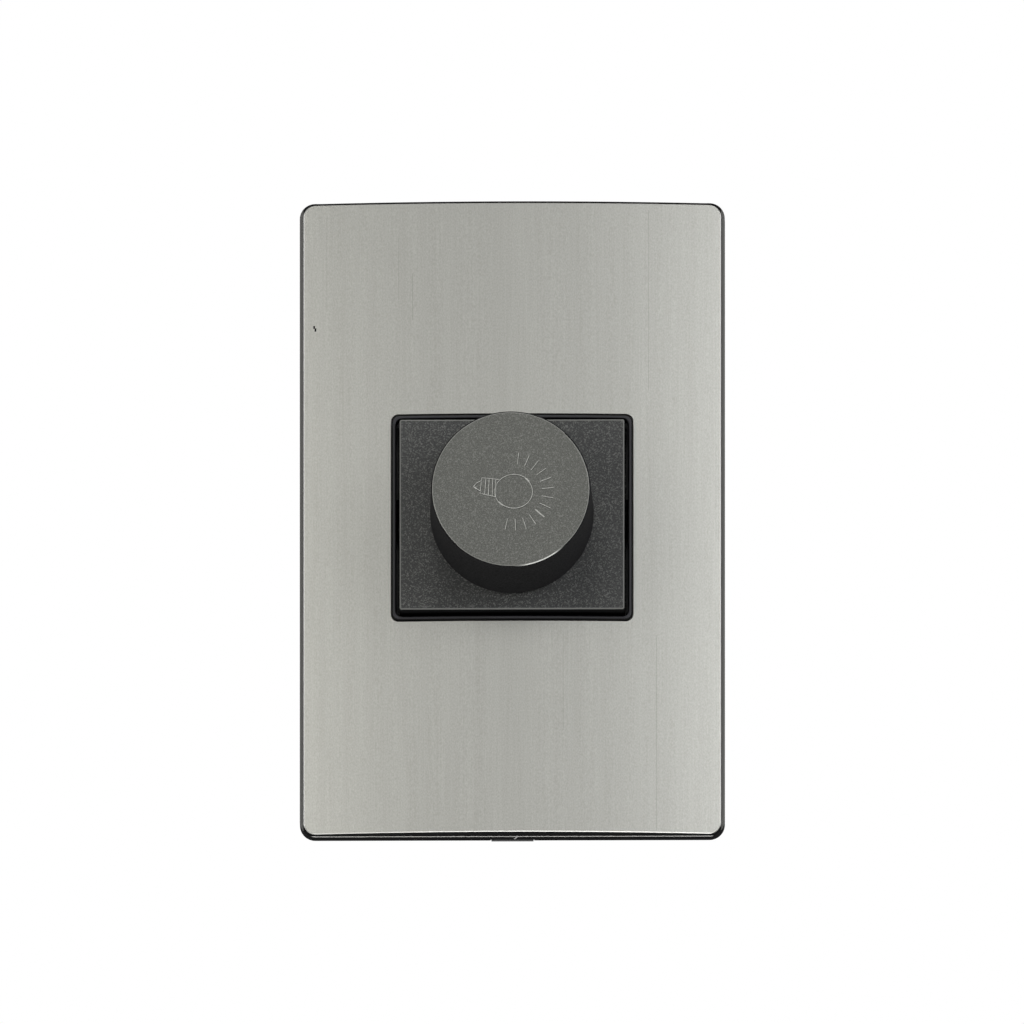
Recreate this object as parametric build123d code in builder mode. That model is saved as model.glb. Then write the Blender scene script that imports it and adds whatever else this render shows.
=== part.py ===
"""Rotary wall dimmer: a crowned metal face plate on a clip-on cover, a mounting frame for a
wall box, and a dimmer module with one large round knob.

Sizes are in millimetres. X is to the right, Z is up and Y points into the wall, so the face
looks along -Y. The origin is the centre of the mounting frame's back face, on the wall's surface.
A height is a distance in front of the wall, and a negative height lies inside the wall box.
"""

import os
from math import cos, radians, sin, sqrt

from build123d import *

os.makedirs("parts", exist_ok=True)

# Metal face panel, a thin sheet crowned about the vertical axis
panel_width = 78.5
panel_length = 121.1
panel_corner = 2.3
panel_thickness = 0.5
panel_edge_height = 5.3
crown_rise = 2.4
panel_edge_break = 0.2
window_corner = 1.3

# Clip-on cover under the panel, with a rim that shows round it
rim_side_border = 0.65
rim_end_border = 0.35
rim_height = 5.0
rim_edge_round = 0.1
bed_border = 0.2
bed_lip_drop = 0.1
cover_corner_extra = 0.6
cover_wall = 1.7
cover_skin = 1.4
cover_gap = 0.5
panel_fit = 0.06
bead_width = 0.8
bead_rise = 0.3
bead_edge_round = 0.35
pry_width = 8.2
pry_depth = 1.0
pry_reach = 0.3
cover_rib_thickness = 1.2
cover_rib_spacing = 20.0

# Snap hooks that hold the cover on the frame
hook_width = 6.0
hook_thickness = 1.3
hook_catch = 0.8
hook_barb_height = 0.8
hook_spacing = 62.0
hook_fit = 0.15

# Mounting frame
frame_inset = 0.5
flange_thickness = 1.2
web_width = 66.0
web_length = 107.0
web_corner = 4.0
web_height = 3.4
box_screw_spacing = 83.5
box_slot_width = 4.4
box_slot_length = 7.0
screw_seat_width = 9.0
screw_seat_depth = 1.1
rib_thickness = 1.6
pocket_depth = 2.0
pocket_corner = 1.0

# Dimmer module: front tile, box and rear cover
tile_width = 42.2
tile_length = 36.5
tile_corner = 0.4
tile_height = 10.1
tile_wall = 1.6
tile_plate = 2.0
tile_edge_break = 0.25
tile_gap = 0.65
tile_fit = 0.3
tile_flange = 1.3
tile_flange_thickness = 1.2
flange_recess = 1.6
spigot_wall = 1.2
spigot_fit = 0.1
housing_inset = 0.1
housing_wall = 1.6
housing_depth = 27.6
rear_thickness = 2.4
rear_rim = 1.5
rear_edge_round = 0.8
vent_count = 6
vent_width = 1.2
vent_pitch = 2.6
vent_length = 9.0

# Spring clips on the module's sides
clip_width = 8.0
clip_thickness = 0.4
clip_top = 6.6
clip_bend = 5.6
clip_reach = 1.2
clip_pocket = 0.9

# Knob
knob_base_diameter = 30.7
knob_face_diameter = 30.0
knob_length = 21.0
knob_gap = 0.9
knob_face_thickness = 2.2
knob_skirt = 1.8
knob_edge_round = 0.45
knob_rib_count = 6
knob_rib_thickness = 1.0
knob_rib_drop = 2.5
hub_diameter = 11.6
hub_slit = 1.0
hub_slit_depth = 5.0
ring_wire = 0.8
ring_opening_deg = 40.0

# Rotary control
shaft_diameter = 6.0
shaft_running_fit = 0.03
shaft_push_fit = 0.03
shaft_flat_depth = 1.5
shaft_tail_diameter = 4.0
bushing_diameter = 7.0
bushing_length = 6.5
bushing_flange = 1.5
bushing_flange_thickness = 1.0
bushing_fit = 0.1
washer_diameter = 13.0
washer_thickness = 0.5
nut_across_flats = 10.0
nut_thickness = 2.0
can_diameter = 16.6
can_wall = 0.5
can_depth = 7.6
wafer_thickness = 1.4
wafer_fit = 0.05
wafer_tab_width = 14.0
wafer_tab_reach = 10.4
wafer_tab_margin = 1.2
track_radius = 5.7
track_width = 1.6
track_thickness = 0.15
travel_deg = 300.0
rest_from_top_deg = 90.0
rotor_diameter = 12.6
rotor_thickness = 1.8
lug_reach = 7.2
lug_angle = 20.0
stop_angle = 36.0
stop_depth = 1.0
wiper_width = 2.4
wiper_thickness = 0.3
wiper_lift = 0.05
pin_width = 0.9
pin_thickness = 0.5
pin_spacing = 4.2
solder_reach = 1.2

# Circuit board and what is on it
board_fit = 0.2
board_thickness = 1.6
board_drop = 4.8
boss_size = 5.6
boss_corner = 1.0
side_margin = 0.8
screw_diameter = 2.5
screw_head_diameter = 4.6
screw_head_height = 1.4
screw_length = 9.0
pilot_fit = 0.05
choke_diameter = 10.4
choke_length = 13.5
choke_flange = 1.5
choke_core_diameter = 5.0
choke_turns = 8
winding_fit = 0.05
triac_width = 10.0
triac_length = 9.2
triac_thickness = 4.4
triac_tab_length = 6.4
triac_tab_thickness = 1.3
triac_lead_length = 2.4
lead_width = 0.8
lead_spacing = 2.54
sink_width = 16.0
sink_thickness = 1.6
sink_margin = 1.5
sink_side = 6.0
sink_clearance = 1.0
tab_hole_diameter = 3.6
tab_screw_diameter = 3.0
big_cap_width, big_cap_thickness, big_cap_length = 13.0, 5.6, 11.0
small_cap_width, small_cap_thickness, small_cap_length = 4.4, 8.0, 8.0
cap_corner = 0.6
resistor_length = 6.3
resistor_diameter = 2.3
resistor_lead = 0.6
diode_length = 4.0
diode_diameter = 1.9
lead_overhang = 1.4
row_gap = 1.1
fuse_margin = 1.65
fuse_length = 20.0
fuse_diameter = 5.0
fuse_cap_length = 5.0
fuse_cap_step = 0.15
fuse_clip_wall = 0.5
fuse_clip_base = 0.6
fuse_clip_opening = 3.4
component_gap = 0.2

# Wire terminals
cage_size = 8.0
terminal_margin = 0.8
head_gap = 0.35
cage_wall = 1.2
cage_depth = 8.4
cage_gap = 0.1
wire_hole_diameter = 3.6
terminal_screw_diameter = 3.4
terminal_head_diameter = 5.0
terminal_head_height = 1.7
driver_slot_width = 0.9
driver_slot_depth = 0.8
driver_hole_diameter = 5.6
tongue_width = 4.4
tongue_thickness = 0.8
tongue_pin = 1.4
cradle_thickness = 1.0
cradle_gap = 0.15

# Places that follow from the sizes above
crown_radius = ((panel_width / 2) ** 2 + crown_rise**2) / (2 * crown_rise)
crown_top = panel_edge_height + crown_rise
crown_axis = crown_top - crown_radius
cover_width = panel_width + 2 * rim_side_border
cover_length = panel_length + 2 * rim_end_border
cover_corner = panel_corner + cover_corner_extra
cover_floor = flange_thickness + cover_gap
frame_width = cover_width - 2 * frame_inset
frame_length = cover_length - 2 * frame_inset
cavity_width = cover_width - 2 * cover_wall
cavity_length = cover_length - 2 * cover_wall
bead_inner_width = tile_width + 2 * tile_gap
bead_inner_length = tile_length + 2 * tile_gap
bead_outer_width = bead_inner_width + 2 * bead_width
bead_outer_length = bead_inner_length + 2 * bead_width
window_width = bead_outer_width + 2 * panel_fit
window_length = bead_outer_length + 2 * panel_fit
frame_window_width = tile_width + 2 * tile_fit
frame_window_length = tile_length + 2 * tile_fit
recess_width = tile_width + 2 * tile_flange + 2 * tile_fit
recess_length = tile_length + 2 * tile_flange + 2 * tile_fit
flange_floor = flange_recess - tile_flange_thickness
housing_width = tile_width - 2 * housing_inset
housing_length = tile_length - 2 * housing_inset
inside_width = housing_width - 2 * housing_wall
inside_length = housing_length - 2 * housing_wall
board_back = flange_floor - board_drop - board_thickness
board_front = board_back + board_thickness
rear_inside = -housing_depth
boss_x = (inside_width - boss_size) / 2
boss_z = (inside_length - boss_size) / 2
plate_inside = tile_height - tile_plate
knob_floor = tile_height + knob_gap
knob_top = knob_floor + knob_length
knob_inside = knob_top - knob_face_thickness
bushing_top = plate_inside + bushing_length
can_back = plate_inside - can_depth
can_inner = can_diameter / 2 - can_wall
wafer_front = can_back + can_wall + wafer_thickness
track_front = wafer_front + track_thickness
rotor_back = track_front + 4 * wiper_thickness
rotor_front = rotor_back + rotor_thickness
shaft_end = knob_inside - component_gap
hub_end = bushing_top + knob_gap
flat_start = hub_end + shaft_flat_depth / 2
part_floor = board_back - component_gap
cage_back = rear_inside + cage_gap
terminal_x = inside_width / 2 - boss_size - terminal_margin - cage_size / 2
terminal_z = (cage_size - inside_length + component_gap) / 2 + terminal_head_height + head_gap
fuse_z = (fuse_diameter - inside_length) / 2 + fuse_margin
diode_z = fuse_z + (fuse_diameter + diode_diameter) / 2 + row_gap
resistor_z = diode_z + (diode_diameter + resistor_diameter) / 2 + row_gap
big_cap_z = resistor_z + (resistor_diameter + big_cap_thickness) / 2 + row_gap
resistor_reach = resistor_length + 2 * lead_overhang
resistor_pitch = (inside_width - resistor_reach) / 2 - side_margin
choke_x = side_margin - (inside_width - choke_diameter) / 2
choke_z = (resistor_z + resistor_diameter / 2 + inside_length / 2 - boss_size) / 2
small_cap_x = (inside_width - small_cap_width) / 2 - side_margin
triac_x = (choke_x + choke_diameter / 2 + small_cap_x - small_cap_width / 2) / 2
triac_z = inside_length / 2 - sink_margin - sink_thickness - triac_thickness / 2


def front(height):
    """The plane parallel to the wall at a height in front of it."""
    return Plane.XZ.offset(height)


def crown_at(x, setback=0.0):
    """Height of the crowned face at x, less a setback."""
    return crown_axis + sqrt((crown_radius - setback) ** 2 - x**2)


def crowned_block(width, length, corner, floor, setback):
    """Rounded block that stands on the floor height and ends at the crown, less a setback."""
    with BuildPart() as block:
        with BuildSketch(front(floor)):
            RectangleRounded(width, length, corner)
        extrude(amount=crown_top + bead_rise + 1 - floor)
        with BuildSketch(Plane.XY.offset(-length)):
            with Locations((0, -crown_axis)):
                Circle(crown_radius - setback)
        extrude(amount=2 * length, mode=Mode.INTERSECT)
    return block.part


def finish(part, name):
    """Label a piece and write it."""
    part.label = name
    export_step(part, f"parts/{name}.step")


# Face panel: one crowned sheet with the module's window and lightly broken front edges
panel_outline = crowned_block(panel_width, panel_length, panel_corner, 0, 0)
under_panel = crowned_block(2 * panel_width, 2 * panel_length, panel_corner, 0, panel_thickness)
with BuildPart() as face_panel:
    add(panel_outline)
    add(under_panel, mode=Mode.SUBTRACT)
    with BuildSketch(front(0)):
        RectangleRounded(window_width, window_length, window_corner)
    extrude(amount=crown_top + 1, mode=Mode.SUBTRACT)
    chamfer(face_panel.faces().sort_by(Axis.Y)[0].edges(), panel_edge_break)
finish(face_panel.part, "face_panel")

# Cover: a level rim and a crowned bed for the panel, a bead round the window and a hollow back
panel_bed = crowned_block(
    panel_width + 2 * bed_border,
    panel_length + 2 * bed_border,
    panel_corner + bed_border,
    cover_floor,
    bed_lip_drop,
)
with BuildPart() as rim:
    with BuildSketch(front(cover_floor)):
        RectangleRounded(cover_width, cover_length, cover_corner)
    extrude(amount=rim_height - cover_floor)
    fillet(rim.faces().sort_by(Axis.Y)[0].edges(), rim_edge_round)
panel_seat = crowned_block(
    panel_width + 2 * panel_fit,
    panel_length + 2 * panel_fit,
    panel_corner + panel_fit,
    cover_floor,
    -bead_rise - 0.5,
)
seat_floor = crowned_block(
    2 * cover_width, 2 * cover_length, cover_corner, 0, panel_thickness
)
cavity = crowned_block(
    cavity_width,
    cavity_length,
    cover_corner - cover_wall / 2,
    0,
    panel_thickness + cover_skin,
)
bead_block = crowned_block(
    bead_outer_width,
    bead_outer_length,
    window_corner - panel_fit,
    crown_at(bead_inner_width / 2, panel_thickness + cover_skin),
    -bead_rise,
)
with BuildPart() as bead:
    add(bead_block)
    with BuildSketch(front(0)):
        RectangleRounded(bead_inner_width, bead_inner_length, tile_corner + tile_gap)
    extrude(amount=crown_top + bead_rise + 1, mode=Mode.SUBTRACT)
    fillet(bead.faces().sort_by(Axis.Y)[0].edges(), bead_edge_round)
with BuildPart() as seat_cut:
    add(panel_seat)
    add(seat_floor, mode=Mode.SUBTRACT)
hook_root = web_width / 2 + hook_catch + hook_fit
rib_top = crown_at(cover_rib_spacing, panel_thickness + cover_skin / 2)
with BuildPart() as cover_frame:
    add(rim.part)
    add(panel_bed)
    add(seat_cut.part, mode=Mode.SUBTRACT)
    add(cavity, mode=Mode.SUBTRACT)
    with BuildSketch(front(web_height)):
        with GridLocations(2 * cover_rib_spacing, 0, 2, 1):
            Rectangle(cover_rib_thickness, cavity_length + cover_wall)
    extrude(amount=rib_top - web_height)
    with BuildSketch(front(0)):
        RectangleRounded(bead_inner_width, bead_inner_length, tile_corner + tile_gap)
    extrude(amount=crown_top + bead_rise + 1, mode=Mode.SUBTRACT)
    add(bead.part)
    for side in (-1, 1):
        arm_x = side * (hook_root + hook_thickness / 2)
        barb_x = side * (hook_root + (hook_thickness - hook_catch) / 2)
        with BuildSketch(front(cover_floor)):
            with Locations((arm_x, 0)):
                with GridLocations(0, hook_spacing, 1, 2):
                    Rectangle(hook_thickness, hook_width)
        extrude(amount=crown_at(arm_x, panel_thickness + cover_skin / 2) - cover_floor)
        with BuildSketch(front(cover_floor)):
            with Locations((barb_x, 0)):
                with GridLocations(0, hook_spacing, 1, 2):
                    Rectangle(hook_thickness + hook_catch, hook_width)
        extrude(amount=hook_barb_height)
    with BuildSketch(front(cover_floor)):
        with Locations((0, -cover_length / 2)):
            Rectangle(pry_width, 2 * cover_wall + 1)
    extrude(amount=pry_depth, mode=Mode.SUBTRACT)
finish(cover_frame.part, "cover_frame")

# Mounting frame: flange, raised web, window for the module, slots for the wall box screws,
# catches for the cover's hooks and a ribbed back
pocket_width = (web_width - recess_width) / 2 - 2 * rib_thickness
pocket_x = (web_width + recess_width) / 4
side_pocket_length = (recess_length - rib_thickness) / 2
end_pocket_length = (web_length - recess_length) / 2 - 2 * rib_thickness
end_pocket_z = (web_length + recess_length) / 4
end_pocket_width = (web_width - screw_seat_width) / 2 - 2 * rib_thickness
end_pocket_x = (web_width + screw_seat_width) / 4
catch_floor = cover_floor + hook_barb_height + hook_fit
with BuildPart() as mounting_frame:
    with BuildSketch(front(0)):
        RectangleRounded(frame_width, frame_length, cover_corner)
        with Locations((0, -frame_length / 2)):
            Rectangle(pry_width - 2 * hook_fit, 2 * pry_reach)
    extrude(amount=flange_thickness)
    with BuildSketch(front(0)):
        RectangleRounded(web_width, web_length, web_corner)
    extrude(amount=web_height)
    with BuildSketch(front(catch_floor)):
        with GridLocations(0, hook_spacing, 1, 2):
            Rectangle(web_width + 2 * hook_catch, hook_width + 2 * rib_thickness)
    extrude(amount=web_height - catch_floor)
    with BuildSketch(front(0)):
        RectangleRounded(recess_width, recess_length, tile_corner + tile_fit)
    extrude(amount=flange_recess, mode=Mode.SUBTRACT)
    with BuildSketch(front(0)):
        RectangleRounded(frame_window_width, frame_window_length, tile_corner + tile_fit)
    extrude(amount=web_height, mode=Mode.SUBTRACT)
    with BuildSketch(front(0)):
        with GridLocations(2 * pocket_x, side_pocket_length + rib_thickness, 2, 2):
            RectangleRounded(pocket_width, side_pocket_length, pocket_corner)
        with GridLocations(2 * end_pocket_x, 2 * end_pocket_z, 2, 2):
            RectangleRounded(end_pocket_width, end_pocket_length, pocket_corner)
    extrude(amount=pocket_depth, mode=Mode.SUBTRACT)
    with BuildSketch(front(0)):
        with GridLocations(0, box_screw_spacing, 1, 2):
            SlotOverall(box_slot_length, box_slot_width, rotation=90)
    extrude(amount=web_height, mode=Mode.SUBTRACT)
    with BuildSketch(front(web_height - screw_seat_depth)):
        with GridLocations(0, box_screw_spacing, 1, 2):
            SlotOverall(
                box_slot_length + screw_seat_width - box_slot_width, screw_seat_width, rotation=90
            )
    extrude(amount=screw_seat_depth, mode=Mode.SUBTRACT)
finish(mounting_frame.part, "mounting_frame")

# Module front: tile with a flange that seats in the mounting frame and a spigot for the housing
with BuildPart() as module_front:
    with BuildSketch(front(flange_floor)):
        RectangleRounded(tile_width, tile_length, tile_corner)
    extrude(amount=tile_height - flange_floor)
    chamfer(module_front.faces().sort_by(Axis.Y)[0].edges(), tile_edge_break)
    with BuildSketch(front(flange_floor)):
        RectangleRounded(
            tile_width + 2 * tile_flange, tile_length + 2 * tile_flange, tile_corner + tile_fit
        )
    extrude(amount=tile_flange_thickness)
    with BuildSketch(front(board_front)):
        Rectangle(inside_width - 2 * spigot_fit, inside_length - 2 * spigot_fit)
    extrude(amount=board_drop)
    with BuildSketch(front(board_front)):
        Rectangle(
            inside_width - 2 * spigot_fit - 2 * spigot_wall,
            inside_length - 2 * spigot_fit - 2 * spigot_wall,
        )
    extrude(amount=plate_inside - board_front, mode=Mode.SUBTRACT)
    with BuildSketch(front(flange_recess)):
        Rectangle(tile_width - 2 * tile_wall, tile_length - 2 * tile_wall)
    extrude(amount=plate_inside - flange_recess, mode=Mode.SUBTRACT)
    with BuildSketch(front(plate_inside)):
        Circle(bushing_diameter / 2 + bushing_fit)
    extrude(amount=tile_plate, mode=Mode.SUBTRACT)
    with BuildSketch(front(flange_recess)):
        with GridLocations(tile_width, 0, 2, 1):
            Rectangle(2 * clip_pocket, clip_width + 2 * tile_fit)
    extrude(amount=clip_top + clip_thickness - flange_recess, mode=Mode.SUBTRACT)
finish(module_front.part, "module_front")

# Module clips: two bent spring strips that catch on the front of the mounting frame's window
with BuildPart() as module_clips:
    clip_root = tile_width / 2 - clip_pocket
    clip_end = web_height + component_gap
    for side in (-1, 1):
        with BuildSketch(Plane.XY.offset(-clip_width / 2)):
            with BuildLine():
                Polyline(
                    (side * clip_root, -clip_top),
                    (side * (clip_root + clip_thickness), -clip_top),
                    (side * (clip_root + clip_thickness), -clip_bend),
                    (side * (tile_width / 2 + clip_reach), -clip_end),
                    (side * (tile_width / 2 + clip_reach - clip_thickness), -clip_end),
                    (side * clip_root, -clip_bend + clip_thickness),
                    close=True,
                )
            make_face()
        extrude(amount=clip_width)
finish(module_clips.part, "module_clips")

# Module housing: the box behind the tile, with vents, screw bosses and terminal cradles
with BuildPart() as module_housing:
    with BuildSketch(front(rear_inside)):
        RectangleRounded(housing_width, housing_length, tile_corner)
    extrude(amount=flange_floor - rear_inside)
    with BuildSketch(front(rear_inside)):
        Rectangle(inside_width, inside_length)
    extrude(amount=flange_floor - rear_inside, mode=Mode.SUBTRACT)
    with BuildSketch(front(rear_inside + rear_rim + spigot_fit)):
        with GridLocations(2 * boss_x + boss_corner, 2 * boss_z + boss_corner, 2, 2):
            RectangleRounded(boss_size + boss_corner, boss_size + boss_corner, boss_corner)
    extrude(amount=board_back - rear_inside - rear_rim - spigot_fit)
    cradle_offset = cage_size / 2 + cradle_gap + cradle_thickness / 2
    cradle_top = terminal_z + cage_size / 2
    cradle_length = cradle_top + inside_length / 2
    with BuildSketch(front(cage_back + rear_rim)):
        for middle in (-terminal_x, terminal_x):
            with Locations((middle, cradle_top - cradle_length / 2)):
                with GridLocations(2 * cradle_offset, 0, 2, 1):
                    Rectangle(cradle_thickness, cradle_length + housing_wall)
    extrude(amount=cage_depth - rear_rim)
    with BuildSketch(front(rear_inside + rear_rim)):
        with Locations((boss_x, boss_z), (-boss_x, -boss_z)):
            Circle(screw_diameter / 2 + pilot_fit)
    extrude(amount=screw_length, mode=Mode.SUBTRACT)
    with BuildSketch(Plane.XY.offset(-housing_length / 2)):
        with Locations((0, -(cage_back + cage_depth / 2))):
            with GridLocations(2 * terminal_x, 0, 2, 1):
                Circle(driver_hole_diameter / 2)
    extrude(amount=housing_wall, mode=Mode.SUBTRACT)
    with BuildSketch(Plane.XY.offset(inside_length / 2)):
        with Locations((0, -(board_back + rear_inside) / 2)):
            with GridLocations(vent_pitch, 0, vent_count, 1):
                SlotOverall(vent_length, vent_width, rotation=90)
    extrude(amount=housing_wall, mode=Mode.SUBTRACT)
finish(module_housing.part, "module_housing")

# Housing cover: the module's back, with wire holes, countersunk corners for its screws and a rim
with BuildPart() as housing_cover:
    with BuildSketch(front(rear_inside - rear_thickness)):
        RectangleRounded(housing_width, housing_length, tile_corner)
    extrude(amount=rear_thickness)
    fillet(housing_cover.faces().sort_by(Axis.Y)[-1].edges(), rear_edge_round)
    with BuildSketch(front(rear_inside)):
        Rectangle(inside_width - 2 * spigot_fit, inside_length - 2 * spigot_fit)
        Rectangle(
            inside_width - 2 * spigot_fit - 2 * spigot_wall,
            inside_length - 2 * spigot_fit - 2 * spigot_wall,
            mode=Mode.SUBTRACT,
        )
    extrude(amount=rear_rim)
    with BuildSketch(front(rear_inside - rear_thickness)):
        with Locations((0, terminal_z)):
            with GridLocations(2 * terminal_x, 0, 2, 1):
                Circle(wire_hole_diameter / 2)
        with Locations((boss_x, boss_z), (-boss_x, -boss_z)):
            Circle(screw_diameter / 2 + spigot_fit)
    extrude(amount=rear_thickness + rear_rim, mode=Mode.SUBTRACT)
    with BuildSketch(front(rear_inside - rear_thickness)):
        with Locations((boss_x, boss_z), (-boss_x, -boss_z)):
            Circle(screw_head_diameter / 2 + spigot_fit)
    extrude(amount=screw_head_height, mode=Mode.SUBTRACT)
finish(housing_cover.part, "housing_cover")

# Housing screws: two pan heads with a cross-cut slot, set in the rear cover
screw_seat = rear_inside - rear_thickness + screw_head_height
with BuildPart() as housing_screws:
    with BuildSketch(front(screw_seat - screw_head_height)):
        with Locations((boss_x, boss_z), (-boss_x, -boss_z)):
            Circle(screw_head_diameter / 2)
    extrude(amount=screw_head_height)
    with BuildSketch(front(screw_seat)):
        with Locations((boss_x, boss_z), (-boss_x, -boss_z)):
            Circle(screw_diameter / 2)
    extrude(amount=screw_length)
    with BuildSketch(front(screw_seat - screw_head_height)):
        with Locations((boss_x, boss_z), (-boss_x, -boss_z)):
            Rectangle(0.6 * screw_head_diameter, driver_slot_width)
            Rectangle(driver_slot_width, 0.6 * screw_head_diameter)
    extrude(amount=driver_slot_depth, mode=Mode.SUBTRACT)
finish(housing_screws.part, "housing_screws")

# Knob: a drafted cap with a slit hub, a D-shaped bore and ribs between the hub and the skirt
flat_x = shaft_diameter / 2 - shaft_flat_depth + shaft_push_fit
with BuildPart() as dimmer_knob:
    with BuildSketch(Plane.XY):
        with BuildLine():
            Polyline(
                (0, -knob_floor),
                (knob_base_diameter / 2, -knob_floor),
                (knob_face_diameter / 2, -knob_top),
                (0, -knob_top),
                close=True,
            )
        make_face()
    revolve(axis=Axis.Y)
    fillet(dimmer_knob.edges().filter_by(GeomType.CIRCLE).sort_by(Axis.Y)[0], knob_edge_round)
    with BuildSketch(Plane.XY):
        with BuildLine():
            Polyline(
                (0, -knob_floor),
                (knob_base_diameter / 2 - knob_skirt, -knob_floor),
                (knob_face_diameter / 2 - knob_skirt, -knob_inside),
                (0, -knob_inside),
                close=True,
            )
        make_face()
    revolve(axis=Axis.Y, mode=Mode.SUBTRACT)
    with BuildSketch(front(knob_inside - knob_rib_drop)):
        with PolarLocations(0, knob_rib_count):
            with Locations(((knob_face_diameter - knob_skirt) / 4, 0)):
                Rectangle((knob_face_diameter - knob_skirt) / 2, knob_rib_thickness)
    extrude(amount=knob_rib_drop)
    with BuildSketch(front(hub_end)):
        Circle(hub_diameter / 2)
    extrude(amount=knob_inside - hub_end)
    with BuildSketch(front(hub_end)):
        Rectangle(hub_diameter, hub_slit)
    extrude(amount=hub_slit_depth, mode=Mode.SUBTRACT)
    with BuildSketch(front(hub_end)):
        Circle(shaft_diameter / 2 + shaft_push_fit)
        with Locations((flat_x + shaft_diameter / 2, 0)):
            Rectangle(shaft_diameter, shaft_diameter + 1, mode=Mode.SUBTRACT)
    extrude(amount=knob_inside - hub_end, mode=Mode.SUBTRACT)
    with BuildSketch(front(hub_end)):
        Circle(shaft_diameter / 2 + shaft_push_fit)
    extrude(amount=flat_start - hub_end, mode=Mode.SUBTRACT)
finish(dimmer_knob.part, "dimmer_knob")

# Knob spring: an open ring of wire that closes the slit hub on the shaft
ring_radius = (hub_diameter + ring_wire) / 2 + spigot_fit
ring_height = hub_end + hub_slit_depth / 2
with BuildPart() as knob_spring:
    with BuildLine(front(ring_height)) as ring_path:
        CenterArc((0, 0), ring_radius, ring_opening_deg / 2, 360 - ring_opening_deg)
    with BuildSketch(Plane(ring_path.line @ 0, z_dir=ring_path.line % 0)):
        Circle(ring_wire / 2)
    sweep(path=ring_path.line)
finish(knob_spring.part, "knob_spring")

# Control shaft: round through the bushing, flatted in the knob, with a tail in the rotor
with BuildPart() as control_shaft:
    with BuildSketch(front(rotor_front)):
        Circle(shaft_diameter / 2)
    extrude(amount=shaft_end - rotor_front)
    chamfer(control_shaft.faces().sort_by(Axis.Y)[0].edges(), shaft_push_fit * 10)
    with BuildSketch(front(rotor_back)):
        Circle(shaft_tail_diameter / 2)
    extrude(amount=rotor_thickness)
    with BuildSketch(front(flat_start)):
        with Locations((shaft_diameter - shaft_flat_depth, 0)):
            Rectangle(shaft_diameter, shaft_diameter)
    extrude(amount=shaft_end - flat_start, mode=Mode.SUBTRACT)
finish(control_shaft.part, "control_shaft")

# Control bushing: threaded barrel with a flange inside the can
with BuildPart() as control_bushing:
    with BuildSketch(front(plate_inside - can_wall)):
        Circle(bushing_diameter / 2)
    extrude(amount=bushing_top - plate_inside + can_wall)
    chamfer(control_bushing.faces().sort_by(Axis.Y)[0].edges(), can_wall / 2)
    with BuildSketch(front(plate_inside - can_wall - bushing_flange_thickness)):
        Circle(bushing_diameter / 2 + bushing_flange)
    extrude(amount=bushing_flange_thickness)
    with BuildSketch(front(rotor_front)):
        Circle(shaft_diameter / 2 + shaft_running_fit)
    extrude(amount=bushing_top - rotor_front, mode=Mode.SUBTRACT)
finish(control_bushing.part, "control_bushing")

# Washer and nut that hold the control to the tile
with BuildPart() as bushing_washer:
    with BuildSketch(front(tile_height)):
        Circle(washer_diameter / 2)
        Circle(bushing_diameter / 2 + bushing_fit, mode=Mode.SUBTRACT)
    extrude(amount=washer_thickness)
finish(bushing_washer.part, "bushing_washer")

with BuildPart() as bushing_nut:
    with BuildSketch(front(tile_height + washer_thickness)):
        RegularPolygon(nut_across_flats / 2, 6, major_radius=False)
        Circle(bushing_diameter / 2 + shaft_push_fit, mode=Mode.SUBTRACT)
    extrude(amount=nut_thickness)
finish(bushing_nut.part, "bushing_nut")

# Control can: a drawn cup with a stop formed in its wall, cut away below for the wafer's tab
stop_top = plate_inside - can_wall - bushing_flange_thickness
with BuildPart() as control_can:
    with BuildSketch(front(can_back)):
        Circle(can_diameter / 2)
    extrude(amount=can_depth)
    with BuildSketch(front(can_back)):
        Circle(can_inner)
    extrude(amount=can_depth - can_wall, mode=Mode.SUBTRACT)
    with BuildSketch(front(wafer_front + component_gap)):
        with BuildLine():
            outer = CenterArc((0, 0), can_inner + can_wall / 2, -90 - stop_angle / 2, stop_angle)
            inner = CenterArc((0, 0), can_inner - stop_depth, -90 - stop_angle / 2, stop_angle)
            Line(outer @ 0, inner @ 0)
            Line(outer @ 1, inner @ 1)
        make_face()
    extrude(amount=stop_top - wafer_front - component_gap)
    with BuildSketch(front(can_back)):
        with Locations((0, -can_diameter / 2)):
            Rectangle(wafer_tab_width + component_gap, can_diameter)
    extrude(amount=wafer_front - can_back + component_gap / 2, mode=Mode.SUBTRACT)
    with BuildSketch(front(plate_inside - can_wall)):
        Circle(bushing_diameter / 2 + shaft_push_fit)
    extrude(amount=can_wall, mode=Mode.SUBTRACT)
finish(control_can.part, "control_can")

# Wafer: the insulating base that closes the can, with a tab that carries the pins
with BuildPart() as control_wafer:
    with BuildSketch(front(wafer_front - wafer_thickness)):
        Circle(can_inner - wafer_fit)
        with Locations((0, -wafer_tab_reach / 2)):
            Rectangle(wafer_tab_width, wafer_tab_reach)
    extrude(amount=wafer_thickness)
    with BuildSketch(front(wafer_front - wafer_thickness)):
        with Locations((0, -wafer_tab_reach + wafer_tab_margin)):
            with GridLocations(pin_spacing, 0, 3, 1):
                Rectangle(pin_width, pin_thickness)
    extrude(amount=wafer_thickness, mode=Mode.SUBTRACT)
finish(control_wafer.part, "control_wafer")

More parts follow.
